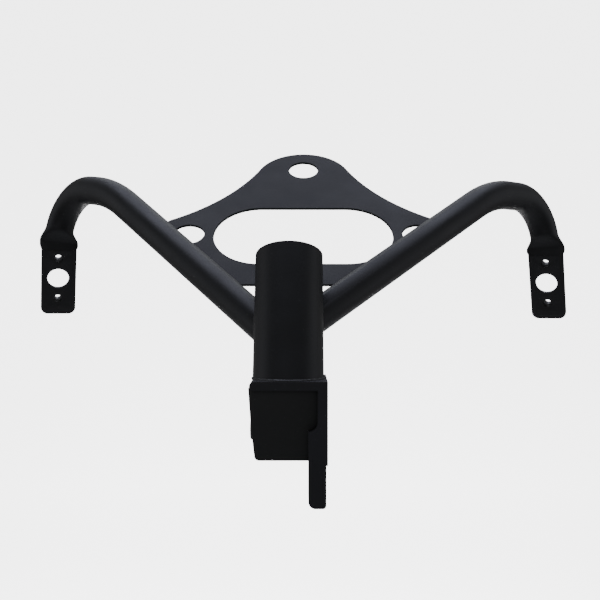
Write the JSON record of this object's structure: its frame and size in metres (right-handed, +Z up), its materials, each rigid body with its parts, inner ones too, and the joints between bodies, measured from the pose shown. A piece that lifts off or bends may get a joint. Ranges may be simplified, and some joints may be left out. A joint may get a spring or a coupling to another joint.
{
  "type": "fairing stay",
  "caption": "Welded tube bracket that carries a motorcycle's clocks, mirrors and front fairing: raked stem, bent arms with pressed drilled ends, and a slotted clock plate.",
  "frame": {"origin": "on the axis of the base sleeve, in the plane halfway between the two side holes of the clock plate", "axes": "X to the rider's right, Y forward, Z up"},
  "size_m": [0.436, 0.2461, 0.2391],
  "materials": {
    "stem_tube": "satin black powder coat on welded steel tube",
    "arm_left": "satin black powder coat on bent steel tube",
    "arm_right": "satin black powder coat on bent steel tube",
    "clock_plate": "satin black powder coat on cut steel sheet",
    "base_bracket": "satin black powder coat on cut steel plate",
    "base_web": "satin black powder coat on cut steel plate",
    "base_sleeve": "satin black powder coat on steel tube",
    "weld_stem_foot": "satin black powder coat over a weld bead",
    "weld_arm_left": "satin black powder coat over a weld bead",
    "weld_arm_right": "satin black powder coat over a weld bead",
    "weld_plate_left": "satin black powder coat over a weld bead",
    "weld_plate_right": "satin black powder coat over a weld bead",
    "weld_web": "satin black powder coat over a weld bead",
    "weld_sleeve": "satin black powder coat over a weld bead"
  },
  "bodies": {
    "root": {"stem_tube": "stem_tube", "arm_left": "arm_left", "arm_right": "arm_right", "clock_plate": "clock_plate", "base_bracket": "base_bracket", "base_web": "base_web", "base_sleeve": "base_sleeve", "weld_stem_foot": "weld_stem_foot", "weld_arm_left": "weld_arm_left", "weld_arm_right": "weld_arm_right", "weld_plate_left": "weld_plate_left", "weld_plate_right": "weld_plate_right", "weld_web": "weld_web", "weld_sleeve": "weld_sleeve"}
  },
  "joints": []
}
